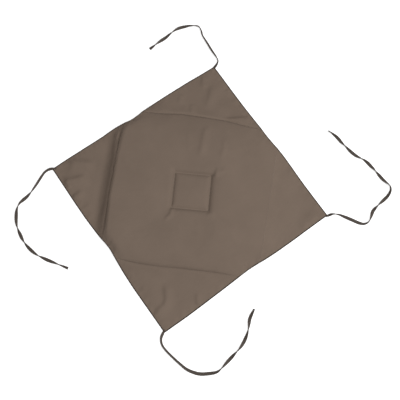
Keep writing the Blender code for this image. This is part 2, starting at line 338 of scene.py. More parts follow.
def wall_turn(inside):
    """How far round the left wall's quarter ellipse a point is, from how far inside the seam its cloth is."""
    return np.clip(inside / WALL, 0, 1) * math.pi / 2


def shift_to_wall(x):
    """How far to the left the cloth moves, for the left wall to have the cloth it needs."""
    inside = SEAM_LINE + x
    on_wall = inside - WALL_WIDTH * (1 - np.cos(wall_turn(inside)) ** WALL_POWER)
    beyond = (WALL - WALL_WIDTH) * (1 - smooth(inside, WALL, WALL_REACH))
    return np.where(inside < WALL, np.where(inside > 0, on_wall, 0), beyond)


def unevenness(x, y, height, wavelength, seed, waves=14):
    """Soft, repeatable heights between about minus and plus the height: a sum of waves in many directions."""
    rng = np.random.default_rng(seed)
    total = np.zeros_like(x)
    for _ in range(waves):
        angle, phase = rng.uniform(0, 2 * math.pi, 2)
        length = wavelength * rng.uniform(0.7, 1.5)
        total += np.sin(2 * math.pi * (x * math.cos(angle) + y * math.sin(angle)) / length + phase)
    return height * (total / math.sqrt(waves / 2))


def along_route(x, y, route):
    """Each point's distance to a route, above 0 on its left, and how far along it that is, from 0 to 1."""
    route = np.array(route, float)
    lengths = np.linalg.norm(np.diff(route, axis=0), axis=1)
    before = np.concatenate([[0], np.cumsum(lengths)])
    nearest = np.full(x.shape, np.inf)
    share = np.zeros(x.shape)
    for start, end, length, gone in zip(route, route[1:], lengths, before):
        t = ((x - start[0]) * (end[0] - start[0]) + (y - start[1]) * (end[1] - start[1])) / length ** 2
        t = np.clip(t, 0, 1)
        away = np.hypot(x - start[0] - t * (end[0] - start[0]), y - start[1] - t * (end[1] - start[1]))
        on_left = (end[0] - start[0]) * (y - start[1]) > (end[1] - start[1]) * (x - start[0])
        closer = away < np.abs(nearest)
        nearest = np.where(closer, np.where(on_left, away, -away), nearest)
        share = np.where(closer, (gone + t * length) / before[-1], share)
    return nearest, share


# Each region's folds: the route of its crest in mm, its height in mm (below 0, a valley), how wide its left
# and right flanks are in mm, and how far in from each end it fades, as a share of its length
FOLDS = {
    "pad": [  # pulled from the quilted square's corners and across the crown
        (((10, 160), (10, 110), (8, 66)), 2.3, (10, 7), 0.2, 0.4),
        (((55, 140), (60, 105), (53, 80)), 1.0, (7, 5), 0.4, 0.25),
        (((-30, 146), (-24, 112), (-18, 78)), 0.5, (7, 4), 0.4, 0.4),
        (((51, 38), (54, 64)), 2.2, (3.5, 6), 0.1, 0.5),
        (((54, 44), (76, 66)), 1.3, (4, 5), 0.3, 0.5),
        (((-31, -48), (-32, -66), (-46, -84)), 2.7, (4.5, 4), 0.1, 0.4),
        (((-21, -52), (-22, -70)), 0.6, (5, 3.5), 0.3, 0.4),
        (((48, -48), (70, -52)), 1.6, (3.5, 7), 0.1, 0.5),
        (((56, -46), (96, -68), (128, -90)), -0.6, (7, 7), 0.1, 0.6),
        (((-36, 37), (-60, 55), (-84, 66)), -0.4, (6, 6), 0.1, 0.6),
        (((-12, -76), (-2, -122)), 0.4, (6, 5), 0.4, 0.4),
        (((26, -57), (37, -115)), 0.35, (6, 5), 0.4, 0.4),
        (((-170, 50), (-149, 33), (-126, 22)), 0.9, (6, 8), 0.3, 0.4),
        (((-106, -1), (-66, 6)), 0.4, (5, 5), 0.4, 0.3),
    ],
    "back": [  # short streaks below its tip, and one beside its seam
        (((-20, 292), (-18, 275), (-12, 258)), 1.9, (9, 5), 0.2, 0.3),
        (((6, 274), (7, 246), (4, 225), (5, 202)), 3.2, (14, 8), 0.3, 0.4),
        (((-7, 242), (-7, 220)), 0.8, (5, 4), 0.3, 0.4),
        (((-33, 216), (-30, 188)), 1.6, (8, 5), 0.3, 0.2),
        (((-64, 236), (-63, 206)), 1.8, (9, 6), 0.2, 0.4),
        (((-110, 185), (-75, 193)), 0.9, (6, 8), 0.3, 0.4),
        (((48, 187), (68, 192), (88, 198), (110, 199)), 2.8, (4.5, 9), 0.3, 0.15),
        (((40, 268), (50, 252)), 1.2, (6, 4), 0.2, 0.3),
    ],
    "left": [  # broad folds that fan out from its tip, and the cloth up against the pad's wall at one end
        (((-294, 19), (-262, 22), (-222, 26)), 5.5, (9, 20), 0.3, 0.35),
        (((-290, -31), (-266, -22), (-248, -12), (-236, 0)), 6.0, (9, 18), 0.2, 0.35),
        (((-262, -61), (-249, -55), (-240, -38)), 3.2, (7, 9), 0.2, 0.3),
        (((-282, -42), (-268, -35)), 1.5, (3.5, 6), 0.2, 0.4),
        (((-302, 12), (-284, 17)), 1.0, (3.5, 6), 0.2, 0.4),
        (((-232, -88), (-214, -66)), 1.1, (5, 7), 0.1, 0.4),
        (((-184, 132), (-190, 105), (-198, 70)), 1.5, (8, 10), 0.1, 0.5),
        (((-172, -132), (-181, -110), (-188, -88), (-192, -62)), -1.0, (7, 7), 0.1, 0.4),
    ],
    "front": [  # a hooked fold, and short puckers at its sides
        (((-20, -213), (-11, -230), (-6, -247), (-8, -263), (-18, -274), (-31, -278)), 3.6, (12, 6.5),
         0.25, 0.2),
        (((57, -222), (62, -248)), 2.0, (7, 5), 0.3, 0.1),
        (((104, -184), (107, -204)), 0.7, (5, 3.5), 0.3, 0.2),
        (((-62, -226), (-60, -246)), 1.0, (5, 4), 0.3, 0.2),
        (((-114, -208), (-84, -201)), 1.6, (4.5, 8), 0.1, 0.5),
        (((-98, -222), (-86, -207)), 1.1, (3.5, 6), 0.1, 0.4),
        (((-72, -250), (-62, -237)), 1.0, (3.5, 6), 0.1, 0.4),
        (((-32, -290), (-14, -279)), 1.1, (4, 6), 0.1, 0.4),
    ],
    "right": [  # nearly smooth
        (((258, -46), (280, -18), (297, 6)), 2.2, (16, 10), 0.3, 0.3),
        (((226, 96), (214, 74)), 0.9, (7, 6), 0.1, 0.5),
    ],
}


def fold_heights(x, y, where):
    """The height that the named region's folds add at each point."""
    total = np.zeros_like(x)
    for route, height, (left, right), fade_in, fade_out in FOLDS[where]:
        away, share = along_route(x / MM, y / MM, route)
        strength = smooth(share, 0, fade_in) * smooth(1 - share, 0, fade_out)
        total += height * MM * strength * np.exp(-(away / np.where(away > 0, left, right)) ** 2)
    return total


PUCKER_HEIGHT = 0.28 * MM
PUCKER_LENGTHS = (16, 38)  # from crest to crest along a side, in mm
PUCKER_INSET = 5 * MM  # from the side in to where they are highest
PUCKER_REACH = 6 * MM  # from there to where they are much lower
PUCKER_SEED = 40


def puckers(x, y):
    """Short puckers that the seam pulls all along the cover's sides: waves along each side, near it only."""
    total = np.zeros_like(x)
    for quarter, (sx, sy) in enumerate(((1, -1), (1, 1), (-1, 1), (-1, -1))):
        here = (x * sx >= 0) & (y * sy >= 0)
        rng = np.random.default_rng(PUCKER_SEED + quarter)
        along = 2 * math.pi * (x * sx - y * sy)
        waves = sum(np.sin(along / (rng.uniform(*PUCKER_LENGTHS) * MM) + rng.uniform(0, 7)) for _ in range(5))
        total = np.where(here, waves, total)
    away = inside_sides(x, y) - PUCKER_INSET
    return PUCKER_HEIGHT * total * np.exp(-(away / PUCKER_REACH) ** 2)


def shift_to_quilt(x, y):
    """How far the cloth moves for the quilted square to be turned, sized and off-centre as it is."""
    reach = np.maximum(np.abs(x), np.abs(y))
    weight = 1 - smooth(reach, *QUILT_REACH)
    scale = QUILT_HALF / QUILT_LINE
    cos, sin = math.cos(QUILT_TURN) * scale, math.sin(QUILT_TURN) * scale
    new_x = QUILT_CENTRE[0] + cos * x - sin * y
    new_y = QUILT_CENTRE[1] + sin * x + cos * y
    return (new_x - x) * weight, (new_y - y) * weight


def shift_to_seams(x, y, points):
    """How far the cloth moves for each channel seam to bow as it does. points are where its plies are now."""
    total = np.zeros((*x.shape, 2))
    for name, out in SIDES.items():
        out = np.array(out)
        along = np.array((-out[1], out[0]))
        outward, sideways = x * out[0] + y * out[1], x * along[0] + y * along[1]
        on_seam = np.isclose(outward, SEAM_LINE) & (np.abs(sideways) <= CORNER - SEAM + STEP)
        order = np.argsort(sideways[on_seam])
        reached = (points[on_seam][:, :2] @ out)[order]
        places = sideways[on_seam][order]
        knots = np.array(SEAM_BOW[name], float) * MM
        wanted = SEAM - SEAM_INSET + np.interp(sideways, knots[:, 0], knots[:, 1])
        missing = wanted - np.interp(sideways, places, reached)
        weight = np.exp(-((outward - SEAM_LINE) / BOW_REACH) ** 2)
        weight = weight * smooth(outward, 0.5 * SEAM, SEAM)
        total += (missing * weight)[..., None] * out
    return total


def shift_to_edges(x, y, points):
    """How far the cloth moves for each of the cover's sides to bow as it does."""
    total = np.zeros((*x.shape, 2))
    half = CORNER / math.sqrt(2)
    for name, bow in EDGE_BOW.items():
        first, second = (np.array(SIDES[part]) for part in name.split("_"))
        out, along = (first + second) / math.sqrt(2), (second - first) / math.sqrt(2)
        outward, sideways = x * out[0] + y * out[1], x * along[0] + y * along[1]
        on_side = np.isclose(outward, half)
        order = np.argsort(sideways[on_side])
        reached = (points[on_side][:, :2] @ out)[order]
        knots = np.array(bow, float) * MM
        wanted = half + blurred_line(np.interp(sideways[on_side][order], knots[:, 0], knots[:, 1]))
        missing = np.interp(sideways, sideways[on_side][order], wanted - reached)
        total += (missing * np.exp(-((half - outward) / EDGE_REACH) ** 2))[..., None] * out
    return total


def blurred_line(values, times=8):
    """Each value's mean with its neighbours, several times over."""
    for _ in range(times):
        values = np.concatenate([values[:1], (values[:-2] + 2 * values[1:-1] + values[2:]) / 4, values[-1:]])
    return values


def side_shares(x, y):
    """How much each point belongs to each side, by its direction from the centre; the shares add up to 1."""
    pulls = {name: np.clip(x * out.x + y * out.y, 1e-6, None) ** 6 for name, out in SIDES.items()}
    total = sum(pulls.values())
    return {name: pull / total for name, pull in pulls.items()}


def rim_heights(y, shares):
    """How high the channel seams lie at each point's place along them."""
    rises = dict(SEAM_RISE)
    rises["left"] = rises["left"] + np.interp(y / MM, *np.transpose(LEFT_RISE)) * MM
    return SEAM_Z + sum(shares[name] * rises[name] for name in SIDES)


def wrinkles(height):
    """The simulated ply's wrinkling: its height less its own broad swelling."""
    broad = height[None]
    for _ in range(WRINKLE_SCALE):
        broad = blurred(broad)
    return height - broad[0]


def pad_heights(x, y, px, py, simulated):
    """The pad's top and bottom ply: a crown that falls to its sewn lines, and an underside on the floor."""
    shares = side_shares(x, y)
    rim = rim_heights(y, shares)
    short = sum(SHORT_SHOULDER[f"{a}_{b}"] * np.minimum(shares[a], shares[b]) for a, b in SHORT_SIDES)
    short = short / sum(np.minimum(shares[a], shares[b]) for a, b in SHORT_SIDES)
    in_flange = inside_sides(x, y) - FLANGE
    swell = rounded(in_flange, short)
    under = rounded(in_flange, UNDER_SHOULDER)
    groove = np.zeros_like(x)
    for name, out in SIDES.items():
        inside = SEAM_LINE - x * out.x - y * out.y
        if name == "left":
            wall = np.sin(wall_turn(inside)) ** WALL_POWER
            swell = swell * (WALL_SHARE * wall + (1 - WALL_SHARE) * rounded(inside, WALL_REACH))
        else:
            swell = swell * rounded(inside, SHOULDER[name], CROWN_POWER[name])
        under = under * rounded(inside, UNDER_SHOULDER)
        groove = groove + shares[name] * SEAM_DEPTH[name] * rounded(inside, SEAM_WIDTH[name])
    from_quilt = np.hypot(*(np.clip(np.abs(flat) - QUILT_LINE, 0, None) for flat in (x, y)))
    rise = rounded(from_quilt, QUILT_DIP[1][1])
    in_quilt = np.clip(QUILT_LINE - np.maximum(np.abs(x), np.abs(y)), 0, None)

    edge = rim + PLY_HALF + groove
    top = edge + (CROWN_Z - edge) * swell
    for depth, width in QUILT_DIP:
        top = top - depth * (1 - rounded(from_quilt, width))
    for height, width in QUILT_PILLOW:
        top = top + height * rounded(in_quilt, width)
    top = top + unevenness(px, py, *PAD_UNEVEN) * swell * rise
    top = top + WRINKLE_SHARE * wrinkles(simulated) * np.minimum(swell * WRINKLE_GROWTH, 1) * rise
    growth, least = PAD_FOLDS
    top = top + fold_heights(px, py, "pad") * np.clip(swell * growth, least, 1) + puckers(x, y) * (1 - swell)
    low = (rim - PLY_HALF) * (1 - under)
    bottom = QUILT_BOTTOM_Z + (low - QUILT_BOTTOM_Z) * rounded(from_quilt, UNDER_SHOULDER) + FLOOR_GAP
    return top, np.minimum(bottom, top - 2 * PLY_HALF)


def flap_heights(x, y, px, py):
    """The flaps' top and bottom ply, and their sewn edges: down from the seams to the floor, and creased."""
    beyond = np.maximum(np.abs(x), np.abs(y)) - SEAM_LINE
    from_side = inside_sides(x, y)
    shares = side_shares(x, y)
    rim = rim_heights(y, shares)
    droop = sum(shares[name] * DROOP[name] for name in SIDES)
    droop = droop + shares["left"] * np.interp(y / MM, *np.transpose(LEFT_DROOP)) * MM
    lift = FLAP_LIFT + (rim - PLY_HALF - FLAP_LIFT) * (1 - rounded(beyond, droop))
    groove = sum(shares[name] * SEAM_DEPTH[name] * rounded(beyond, SEAM_WIDTH[name]) for name in SIDES)
    puff = sum(shares[name] * SEAM_PUFF[name] for name in SIDES)
    lip = groove * (1 - smooth(beyond, SEAM_LIP, puff))
    from_seam, from_sides = LOFT_REACH
    loft = 2 * PLY_HALF + (lip + FLAP_LOFT * smooth(beyond, 0, from_seam)) * rounded(from_side, from_sides)
    free = smooth(beyond, 0, UNEVEN_REACH) * smooth(from_side, 0, UNEVEN_REACH)
    uneven = unevenness(px, py, *FLAP_UNEVEN) * free
    folds = sum(fold_heights(px, py, name) for name in SIDES)
    fade = smooth(beyond, 0, FOLD_FADE) * smooth(from_side, -FOLD_FADE / 2, FOLD_FADE)
    folds = (folds + puckers(x, y)) * fade
    bottom = lift + np.clip(folds + uneven, 0, None) * UNDER_SHARE
    top = np.maximum(lift + loft + folds + uneven, bottom + 2 * PLY_HALF)
    return top, bottom, lift + PLY_HALF


def shaped_cover(points):
    """The simulated plies, brought to the frame's size and heights, with the creases that the pad has."""
    points = refined(points)
    x, y = FLAT_X, FLAT_Y
    drawn_in = (points[0, -1, -1, 1] - points[0, 0, 0, 1] + points[0, -1, 0, 0] - points[0, 0, -1, 0]) / 4
    plan = points[..., :2] * (CORNER / drawn_in)
    plan = plan + np.stack(shift_to_quilt(x, y), -1)
    plan[..., 0] -= shift_to_wall(x)
    for _ in range(2):
        plan = plan + shift_to_seams(x, y, plan[0])
        plan = plan + shift_to_edges(x, y, plan[0])
    px, py = plan[0, ..., 0], plan[0, ..., 1]

    pad_top, pad_bottom = pad_heights(x, y, px, py, points[0, ..., 2])
    flap_top, flap_bottom, edge = flap_heights(x, y, px, py)
    reach = np.maximum(np.abs(x), np.abs(y))
    on_flap = reach > SEAM_LINE + DIAGONAL / 2
    top = np.where(on_flap, flap_top, pad_top)
    bottom = np.where(on_flap, flap_bottom, pad_bottom)
    rim = SEWN & (reach > QUILT_LINE + DIAGONAL / 2)
    middle = np.where(on_flap, edge, rim_heights(y, side_shares(x, y)))
    top = np.where(rim, middle + PLY_HALF, top)
    bottom = np.where(rim, middle - PLY_HALF, bottom)
    return np.concatenate([plan, np.stack([top, bottom])[..., None]], -1)


# ---- building pieces ----


def link(obj):
    bpy.context.scene.collection.objects.link(obj)
    return obj


def new_piece(name, places, faces, material):
    mesh = bpy.data.meshes.new(name)
    mesh.from_pydata([tuple(p) for p in places], [], faces)
    mesh.update()
    mesh.shade_smooth()
    mesh.materials.append(material)
    return link(bpy.data.objects.new(name, mesh))


def lay_grain(piece, grain):
    """Tells the cloth materials where each of a piece's points is on its flat cloth, in metres."""
    layer = piece.data.uv_layers.new(name="cloth")
    corner_points = np.zeros(len(piece.data.loops), int)
    piece.data.loops.foreach_get("vertex_index", corner_points)
    layer.data.foreach_set("uv", np.array(grain)[corner_points].ravel())


def rim_edges(faces):
    """The edges that only one of the faces has, in that face's direction."""
    seen = {}
    for face in faces:
        for a, b in zip(face, face[1:] + face[:1]):
            seen[frozenset((a, b))] = None if frozenset((a, b)) in seen else (a, b)
    return [edge for edge in seen.values() if edge]


def two_ply_piece(name, region, cover, material):
    """A closed piece of the cover: its top ply, its bottom ply, and the narrow wall between them."""
    faces = [face for face, where in FACES if where == region]
    used = sorted({p for face in faces for p in face})
    number = {p: k for k, p in enumerate(used)}
    count = len(used)
    places = [cover[0][at(p)] for p in used] + [cover[1][at(p)] for p in used]
    built = [tuple(number[p] for p in face) for face in faces]
    built += [tuple(count + number[p] for p in reversed(face)) for face in faces]
    rim = {(number[a], number[b]) for a, b in rim_edges(faces)}
    built += [(b, a, count + a, count + b) for a, b in sorted(rim)]
    piece = new_piece(name, places, built, material)
    rim = {frozenset((a + ply, b + ply)) for a, b in rim for ply in (0, count)}
    for edge in piece.data.edges:
        edge.use_edge_sharp = frozenset(edge.vertices) in rim
    grain = np.array([(i * STEP, j * STEP) for i, j in used])
    lay_grain(piece, np.concatenate([grain, grain + (1.0, 0.0)]))  # the bottom ply is another piece of cloth
    return piece


def travelled_along(points):
    """How far along a line each of its points is."""
    return np.concatenate([[0], np.cumsum(np.linalg.norm(np.diff(points, axis=0), axis=1))])


def directions_across(points):
    """Two directions square to a line at each of its points: a level one, and one square to that too."""
    tangents = np.gradient(points, axis=0)
    tangents /= np.linalg.norm(tangents, axis=1)[:, None]
    level = np.cross(tangents, (0, 0, 1.0))
    level /= np.linalg.norm(level, axis=1)[:, None]
    return level, np.cross(level, tangents)


def ring(centre, across, up, radius, sides):
    """Points on a circle."""
    angles = [2 * math.pi * k / sides for k in range(sides)]
    return [centre + radius * (math.cos(angle) * across + math.sin(angle) * up) for angle in angles]


def tube_faces(first, rings, sides):
    """The faces of a tube with closed ends, whose rings' points follow each other from number first on."""
    faces = []
    for a in range(first, first + (rings - 1) * sides, sides):
        b = a + sides
        for k in range(sides):
            after = (k + 1) % sides
            faces.append((a + k, a + after, b + after, b + k))
    last = first + (rings - 1) * sides
    faces.append(tuple(range(first, first + sides))[::-1])
    faces.append(tuple(range(last, last + sides)))
    return faces


# ---- materials ----


def node(tree, kind, **values):
    """A new node with some of its inputs or of its own settings set."""
    made = tree.nodes.new(kind)
    for key, value in values.items():
        if key in made.inputs:
            made.inputs[key].default_value = value
        else:
            setattr(made, key, value)
    return made


def math_node(tree, operation, *values):
    """A Math node's output. Its inputs are numbers or other nodes' outputs."""
    made = node(tree, "ShaderNodeMath", operation=operation)
    for socket, value in zip(made.inputs, values):
        if isinstance(value, bpy.types.NodeSocket):
            tree.links.new(value, socket)
        else:
            socket.default_value = value
    return made.outputs[0]


def noise(tree, vector, scale, detail):
    """A Noise node's output between 0 and 1."""
    made = node(tree, "ShaderNodeTexNoise", Scale=scale, Detail=detail)
    tree.links.new(vector, made.inputs["Vector"])
    return made.outputs[0]


def shaded(tree, colour, darkest, lightest, amount, positions=(0.0, 1.0)):
    """Makes the base colour a colour times from darkest to lightest, as the amount goes between positions."""
    ramp = node(tree, "ShaderNodeValToRGB")
    for element, position, share in zip(ramp.color_ramp.elements, positions, (darkest, lightest)):
        element.position = position
        element.color = (*(c * share for c in colour), 1.0)
    tree.links.new(amount, ramp.inputs["Fac"])
    tree.links.new(ramp.outputs["Color"], tree.nodes["Principled BSDF"].inputs["Base Color"])


def new_material(name, **values):
    """A material with its shader's sockets set, and its node tree. A socket's name has _ for each space."""
    material = bpy.data.materials.new(name)
    material.use_nodes = True
    shader = material.node_tree.nodes["Principled BSDF"]
    for socket, value in values.items():
        shader.inputs[socket.replace("_", " ")].default_value = value
    return material, material.node_tree


SLUB_SCALE = (40.0, 900.0, 1.0)  # uneven yarns: streaks some 25 mm long and 1 mm wide
SLUB_DETAIL = 3.0
CLOUD_SCALE = 14.0  # mottling: clouds some 70 mm across
CLOUD_DETAIL = 2.0
SLUB_IN_COLOUR = 0.6  # as a share of the clouds in it
SLUB_IN_RELIEF = 0.5  # as a share of the weave in it
RELIEF_STRENGTH = 0.35
RELIEF_HEIGHT = 0.1 * MM


def cloth_material(name, colour, yarn, roughness=0.85, sheen=0.04, mottling=0.05):
    """A plain weave: fine over-and-under bump along the grain, uneven yarns and a soft sheen."""
    material, tree = new_material(name, Roughness=roughness, Sheen_Weight=sheen, Sheen_Roughness=0.5,
                                  Sheen_Tint=(*colour, 1.0), Specular_IOR_Level=0.08)
    grain = node(tree, "ShaderNodeUVMap", uv_map="cloth").outputs["UV"]
    split = node(tree, "ShaderNodeSeparateXYZ")
    tree.links.new(grain, split.inputs[0])
    across, along = (math_node(tree, "MULTIPLY", split.outputs[axis], math.pi / yarn) for axis in "XY")
    weave = math_node(tree, "MULTIPLY", math_node(tree, "SINE", across), math_node(tree, "SINE", along))

    stretched = node(tree, "ShaderNodeMapping", Scale=SLUB_SCALE)
    tree.links.new(grain, stretched.inputs["Vector"])
    slub = noise(tree, stretched.outputs[0], 1.0, SLUB_DETAIL)
    cloud = noise(tree, grain, CLOUD_SCALE, CLOUD_DETAIL)
    mixed = math_node(tree, "MULTIPLY_ADD", slub, SLUB_IN_COLOUR, cloud)
    centred = math_node(tree, "SUBTRACT", mixed, SLUB_IN_COLOUR / 2)
    shaded(tree, colour, 1 - mottling, 1 + mottling, centred, (0.25, 0.75))

    bump = node(tree, "ShaderNodeBump", Strength=RELIEF_STRENGTH, Distance=RELIEF_HEIGHT)
    tree.links.new(math_node(tree, "MULTIPLY_ADD", slub, SLUB_IN_RELIEF, weave), bump.inputs["Height"])
    tree.links.new(bump.outputs["Normal"], tree.nodes["Principled BSDF"].inputs["Normal"])
    return material


def thread_material(name, colour):
    """Twisted sewing thread: fine light and dark flecks."""
    material, tree = new_material(name, Roughness=0.55, Sheen_Weight=0.2)
    place = node(tree, "ShaderNodeTexCoord").outputs["Object"]
    shaded(tree, colour, 0.8, 1.15, noise(tree, place, 1500.0, 1.0))
    return material


# ---- the studio ----

CAMERA_LENS = 55.0
CAMERA_AZIMUTH = math.radians(6.32)
CAMERA_ELEVATION = math.radians(74.43)
CAMERA_DISTANCE = 1.394
CAMERA_ROLL = math.radians(3.74)
CAMERA_TARGET = Vector((0.0257, -0.014, 0.0))

# Each light's name, azimuth and elevation in degrees, distance and size in metres, and power in watts
LIGHTS = (("key", 84, 41, 3.2, 0.9, 48), ("overhead", 3, 83, 3.4, 3.0, 76))
WHITE = (1.0, 1.0, 1.0, 1.0)
WORLD_STRENGTH = 0.12
FLOOR_HALF = 6.0
FLOOR_GLOW = 0.5  # it keeps the floor near white round the pad
FLOOR_DROP = 0.2 * MM  # how far below the pad's underside it is


def direction(azimuth, elevation):
    """The way to a place seen at that azimuth (0 is -Y, anticlockwise from above) and elevation."""
    flat = math.cos(elevation)
    return Vector((math.sin(azimuth) * flat, -math.cos(azimuth) * flat, math.sin(elevation)))


def add_camera():
    data = bpy.data.cameras.new("camera")
    data.lens = CAMERA_LENS
    data.clip_start = 0.01
    camera = link(bpy.data.objects.new("camera", data))
    back = direction(CAMERA_AZIMUTH, CAMERA_ELEVATION)
    level = Vector((0.0, 0.0, 1.0)).cross(back).normalized()
    upright = back.cross(level)
    cos, sin = math.cos(CAMERA_ROLL), math.sin(CAMERA_ROLL)
    right, up = cos * level + sin * upright, cos * upright - sin * level
    turned = Matrix((right, up, back)).transposed().to_4x4()
    camera.matrix_world = Matrix.Translation(CAMERA_TARGET + back * CAMERA_DISTANCE) @ turned
    bpy.context.scene.camera = camera


def add_light(name, azimuth, elevation, distance, size, power):
    data = bpy.data.lights.new(name, "AREA")
    data.shape = "DISK"
    data.size = size
    data.energy = power
    light = link(bpy.data.objects.new(name, data))
    way = direction(math.radians(azimuth), math.radians(elevation))
    light.matrix_world = Matrix.Translation(way * distance) @ way.to_track_quat("Z", "Y").to_matrix().to_4x4()


def add_studio():
    for light in LIGHTS:
        add_light(*light)
    world = bpy.data.worlds.new("studio")
    world.use_nodes = True
    background = world.node_tree.nodes["Background"]
    background.inputs["Color"].default_value = WHITE
    background.inputs["Strength"].default_value = WORLD_STRENGTH
    bpy.context.scene.world = world
    bpy.context.scene.view_settings.view_transform = "Standard"

    mesh = bpy.data.meshes.new("floor")
    corners = [(x * FLOOR_HALF, y * FLOOR_HALF, 0) for x, y in ((-1, -1), (1, -1), (1, 1), (-1, 1))]
    mesh.from_pydata(corners, [], [(0, 1, 2, 3)])
    material, _ = new_material("floor", Base_Color=(0.9, 0.9, 0.9, 1.0), Roughness=0.9,
                               Emission_Color=WHITE, Emission_Strength=FLOOR_GLOW)
    mesh.materials.append(material)
    floor = link(bpy.data.objects.new("floor", mesh))
    floor.location.z = -FLOOR_DROP


# ---- the ties ----

TIE_WIDTH = 7.7 * MM  # the drawn tape, as its edges curl in a little
TIE_THICK = 2.0 * MM
TIE_GAP = 0.1 * MM  # between a tie and the floor
TIE_RING = 2.5 * MM  # along the tie, between its cross-sections

# Each tie's route, from its flap's tip to its free end, with the CAD model's own points
TIE_ROUTES = {
    "front": [
        (0.000, -0.3166), (-0.003, -0.328), (-0.002, -0.338), (0.003, -0.347), (0.013, -0.356),
        (0.031, -0.368), (0.046, -0.377), (0.061, -0.385), (0.076, -0.389), (0.092, -0.390),
        (0.110, -0.386), (0.126, -0.380), (0.135, -0.370), (0.143, -0.358), (0.157, -0.337),
        (0.168, -0.320), (0.175, -0.301), (0.178, -0.280), (0.178, -0.258), (0.184, -0.236),
    ],
    "right": [
        (0.3166, 0.000), (0.328, 0.006), (0.341, 0.007), (0.356, 0.004), (0.374, 0.000),
        (0.391, -0.004), (0.402, -0.004), (0.411, 0.003), (0.415, 0.015), (0.419, 0.031),
        (0.429, 0.046), (0.441, 0.061), (0.449, 0.073), (0.453, 0.086), (0.450, 0.097),
        (0.439, 0.105), (0.421, 0.119), (0.406, 0.134), (0.387, 0.147), (0.368, 0.155),
        (0.350, 0.165), (0.334, 0.178), (0.318, 0.192), (0.295, 0.206),
    ],
    "back": [
        (0.000, 0.3166), (0.006, 0.327), (0.008, 0.338), (0.002, 0.349), (-0.012, 0.365),
        (-0.028, 0.385), (-0.041, 0.401), (-0.046, 0.413), (-0.055, 0.423), (-0.073, 0.422),
        (-0.090, 0.416), (-0.106, 0.405), (-0.119, 0.391), (-0.132, 0.374), (-0.146, 0.358),
        (-0.161, 0.341),
    ],
    "left": [
        (-0.3166, 0.000), (-0.327, -0.004), (-0.336, -0.013), (-0.342, -0.028), (-0.348, -0.046),
        (-0.356, -0.066), (-0.366, -0.082), (-0.375, -0.097), (-0.377, -0.112), (-0.374, -0.128),
        (-0.367, -0.147), (-0.355, -0.165), (-0.342, -0.180), (-0.327, -0.192), (-0.309, -0.202),
        (-0.289, -0.208), (-0.266, -0.213), (-0.233, -0.220),
    ],
}

# How each tie turns about its own length: how far along, in mm, and how many degrees from lying flat
TIE_TURNS = {
    "front": ((0, 0), (5, 15), (14, 50), (28, 62), (64, 60), (94, 50), (118, 32), (143, 0), (166, 30),
              (184, 90), (212, 180), (234, 270), (260, 360), (286, 450), (308, 540), (333, 615)),
    "right": ((0, 0), (8, 20), (20, 68), (31, 90), (50, 140), (72, 172), (90, 215), (104, 270), (131, 360),
              (149, 450), (173, 540), (204, 630), (232, 720), (251, 810), (271, 900), (294, 990), (315, 1080),
              (345, 1170), (363, 1260), (390, 1350), (401, 1390)),
    "back": ((0, 0), (9, 10), (20, 60), (29, 78), (38, 122), (59, 138), (86, 136), (103, 122), (124, 114),
             (136, 100), (169, 180), (196, 270), (224, 360), (251, 450), (272, 540)),
    "left": ((0, 0), (5, 20), (14, 66), (29, 80), (42, 68), (58, 68), (78, 90), (99, 180), (120, 270),
             (146, 360), (176, 450), (195, 540), (214, 630), (236, 720), (262, 810), (284, 900), (311, 990),
             (331, 1035)),
}
TIE_ROOT = 4 * MM  # how far inside its flap's tip a tie starts, sewn in between the plies
TIE_GATHER = 14 * MM  # how far along its gathered part ends, which is narrow and thin
TIE_GATHERED = 0.7  # its width and thickness at the start, as a share


def smooth_route(route, step):
    """Points about a step apart along a smooth curve through the route's own points."""
    route = np.array(route, float)
    guide = np.concatenate([[2 * route[0] - route[1]], route, [2 * route[-1] - route[-2]]])
    t = np.linspace(0, 1, 20, endpoint=False)[:, None]
    fine = []
    for before, start, end, after in zip(guide, guide[1:], guide[2:], guide[3:]):
        squared = 2 * before - 5 * start + 4 * end - after
        cubed = 3 * start - before - 3 * end + after
        fine.append(0.5 * (2 * start + (end - before) * t + squared * t ** 2 + cubed * t ** 3))
    fine = np.concatenate([*fine, route[-1:]])
    travelled = travelled_along(fine)
    at_step = np.linspace(0, travelled[-1], round(travelled[-1] / step) + 1)
    points = np.stack([np.interp(at_step, travelled, fine[:, k]) for k in range(2)], -1)
    return points, at_step


def ribbon_section():
    """The tape's cross-section, a flat band with rounded edges: (across, through) in metres."""
    half, thin = TIE_WIDTH / 2, TIE_THICK / 2
    edge = [(half - thin + thin * math.cos(a), thin * math.sin(a)) for a in (-1.2, -0.5, 0.5, 1.2)]
    top = [(x, thin) for x in np.linspace(half - thin, thin - half, 6)]
    return [*edge, *top, *[(-x, -z) for x, z in edge], *[(-x, -z) for x, z in top]]


